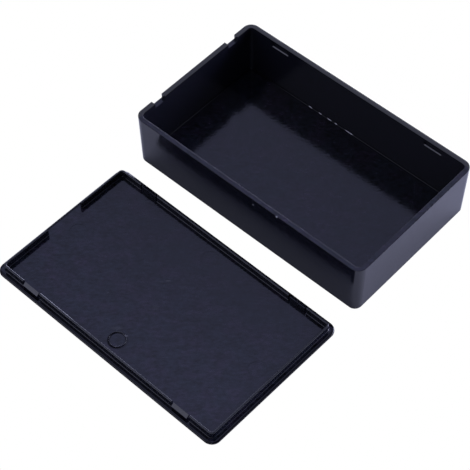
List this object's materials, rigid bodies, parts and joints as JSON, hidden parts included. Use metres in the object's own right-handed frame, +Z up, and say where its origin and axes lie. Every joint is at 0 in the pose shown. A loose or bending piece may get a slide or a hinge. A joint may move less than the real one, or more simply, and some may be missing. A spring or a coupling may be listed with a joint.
{
  "type": "plastic project box",
  "caption": "Shallow rectangular snap-together plastic enclosure: an open moulded tub with rim notches and a flat lid with a lip and snap tabs, lying beside it.",
  "frame": {"origin": "centre of the tub's underside", "axes": "+X along the tub's long side, away from the end with the rim notches; +Y across it, away from the lid that lies beside it; +Z up, out of the tub's mouth"},
  "size_m": [0.1008, 0.1286, 0.0225],
  "materials": {
    "black_abs": "satin gloss, as moulded"
  },
  "bodies": {
    "tub": {"tub": "black_abs"},
    "lid": {"lid": "black_abs"}
  },
  "joints": [
    {"name": "lid_turn", "type": "hinge", "parent": "tub", "child": "lid", "pos_m": [-0.00024, -0.034, 0.0135], "axis": [-1, 0.007, 0], "range_deg": [0, 180]}
  ]
}
